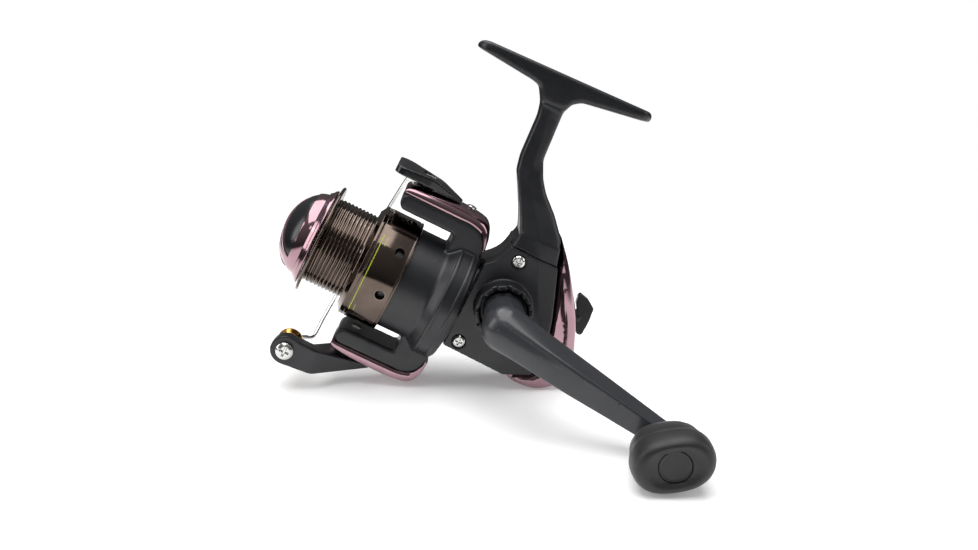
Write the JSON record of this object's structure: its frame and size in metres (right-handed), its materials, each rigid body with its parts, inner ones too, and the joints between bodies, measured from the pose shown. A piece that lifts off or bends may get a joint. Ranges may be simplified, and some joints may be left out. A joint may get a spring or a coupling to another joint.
{
  "type": "spinning reel",
  "caption": "Small spinning fishing reel with a foot and stem, a folding bail on a geared rotor, a stroking front-drag spool and a cranked handle with an egg-shaped knob.",
  "frame": {"origin": "centre of the foot's flat mounting face, which seats against the rod's reel seat", "axes": "+X towards the rod tip and the spool's nose, +Y to the handle's side, +Z out of the foot's face towards the rod"},
  "size_m": [0.1462, 0.1232, 0.1294],
  "materials": {
    "satin_black": "satin moulded",
    "knob_black": "matt moulded",
    "handle_grey": "semi-gloss painted",
    "rose_chrome": "vacuum plated",
    "gunmetal_chrome": "vacuum plated",
    "steel": "machined",
    "bright_steel": "polished",
    "brass": "turned",
    "felt": "pressed felt"
  },
  "bodies": {
    "frame": {"body_housing": "satin_black", "side_cover": "satin_black", "cover_screws": "bright_steel", "rear_cover": "rose_chrome", "rear_cover_screw": "bright_steel", "left_drive_bush": "brass", "right_drive_bush": "brass", "pinion_bearing": "steel", "bearing_retainer": "steel", "retainer_screws": "steel", "dust_cap": "satin_black", "oscillation_axle": "steel", "pawl_pin": "steel"},
    "handle": {"drive_gear": "steel", "handle_arm": "handle_grey", "handle_screw": "steel", "knob_spindle": "steel"},
    "handle_knob": {"knob_body": "knob_black", "knob_cap": "knob_black"},
    "rotor": {"pinion": "brass", "rotor": "satin_black", "rotor_nut": "steel", "reverse_ratchet": "steel", "upper_arm_cover": "rose_chrome", "lower_arm_cover": "rose_chrome", "arm_cover_screws": "bright_steel", "bail_pivot_screws": "bright_steel", "bail_spring": "steel", "trip_lever": "steel"},
    "bail": {"roller_arm": "satin_black", "bail_holder": "satin_black", "bail_wire": "bright_steel", "roller_screw": "bright_steel", "roller_bush": "brass"},
    "line_roller": {"line_roller": "brass"},
    "shaft": {"main_shaft": "steel", "slider": "steel", "slider_screw": "steel", "spool_seat": "steel", "keyed_washer": "steel"},
    "spool": {"spool": "gunmetal_chrome", "spool_bush": "brass", "felt_washers": "felt", "eared_washer": "steel", "drag_clip": "steel"},
    "drag_knob": {"drag_knob": "rose_chrome", "drag_knob_insets": "satin_black", "drag_nut": "brass", "drag_spring": "steel"},
    "oscillation_gear": {"oscillation_gear": "steel"},
    "reverse_lever": {"reverse_lever": "satin_black", "reverse_cam": "steel"},
    "ratchet_pawl": {"ratchet_pawl": "steel"}
  },
  "joints": [
    {"name": "handle_turn", "type": "hinge", "parent": "frame", "child": "handle", "pos_m": [-0.01083, 0, -0.08062], "axis": [0, 1, 0], "continuous": true},
    {"name": "knob_spin", "type": "hinge", "parent": "handle", "child": "handle_knob", "pos_m": [-0.06442, 0.07, -0.08729], "axis": [0, 1, 0], "continuous": true},
    {"name": "rotor_spin", "type": "hinge", "parent": "frame", "child": "rotor", "pos_m": [-0.0103, 0, -0.0893], "axis": [0.9981, 0, 0.061], "continuous": true},
    {"name": "oscillation_spin", "type": "hinge", "parent": "frame", "child": "oscillation_gear", "pos_m": [-0.02034, 0, -0.08888], "axis": [0, 1, 0], "continuous": true},
    {"name": "spool_stroke", "type": "slide", "parent": "frame", "child": "shaft", "axis": [0.9981, 0, 0.061], "range_m": [-0.008, 0]},
    {"name": "drag_slip", "type": "hinge", "parent": "shaft", "child": "spool", "pos_m": [0.03961, 0, -0.08625], "axis": [0.9981, 0, 0.061], "continuous": true},
    {"name": "drag_setting", "type": "hinge", "parent": "shaft", "child": "drag_knob", "pos_m": [0.05957, 0, -0.08503], "axis": [0.9981, 0, 0.061], "range_deg": [-720, 180]},
    {"name": "bail_swing", "type": "hinge", "parent": "rotor", "child": "bail", "pos_m": [0.03162, 0, -0.08674], "axis": [-0.061, 0, 0.9981], "range_deg": [0, 110]},
    {"name": "roller_spin", "type": "hinge", "parent": "bail", "child": "line_roller", "pos_m": [0.05294, 0.004, -0.1241], "axis": [0, 1, 0], "continuous": true},
    {"name": "reverse_switch", "type": "hinge", "parent": "frame", "child": "reverse_lever", "pos_m": [-0.01119, -0.0025, -0.07483], "axis": [0.9981, 0, 0.061], "range_deg": [0, 35]},
    {"name": "pawl_drop", "type": "hinge", "parent": "frame", "child": "ratchet_pawl", "pos_m": [0.01054, -0.012, -0.08602], "axis": [0.9981, 0, 0.061], "range_deg": [-16, 0]}
  ],
  "couplings": [
    {"joint": "rotor_spin", "follows": "handle_turn", "ratio": -4.5},
    {"joint": "oscillation_spin", "follows": "handle_turn", "ratio": -0.5},
    {"joint": "pawl_drop", "follows": "reverse_switch", "ratio": -0.45}
  ]
}
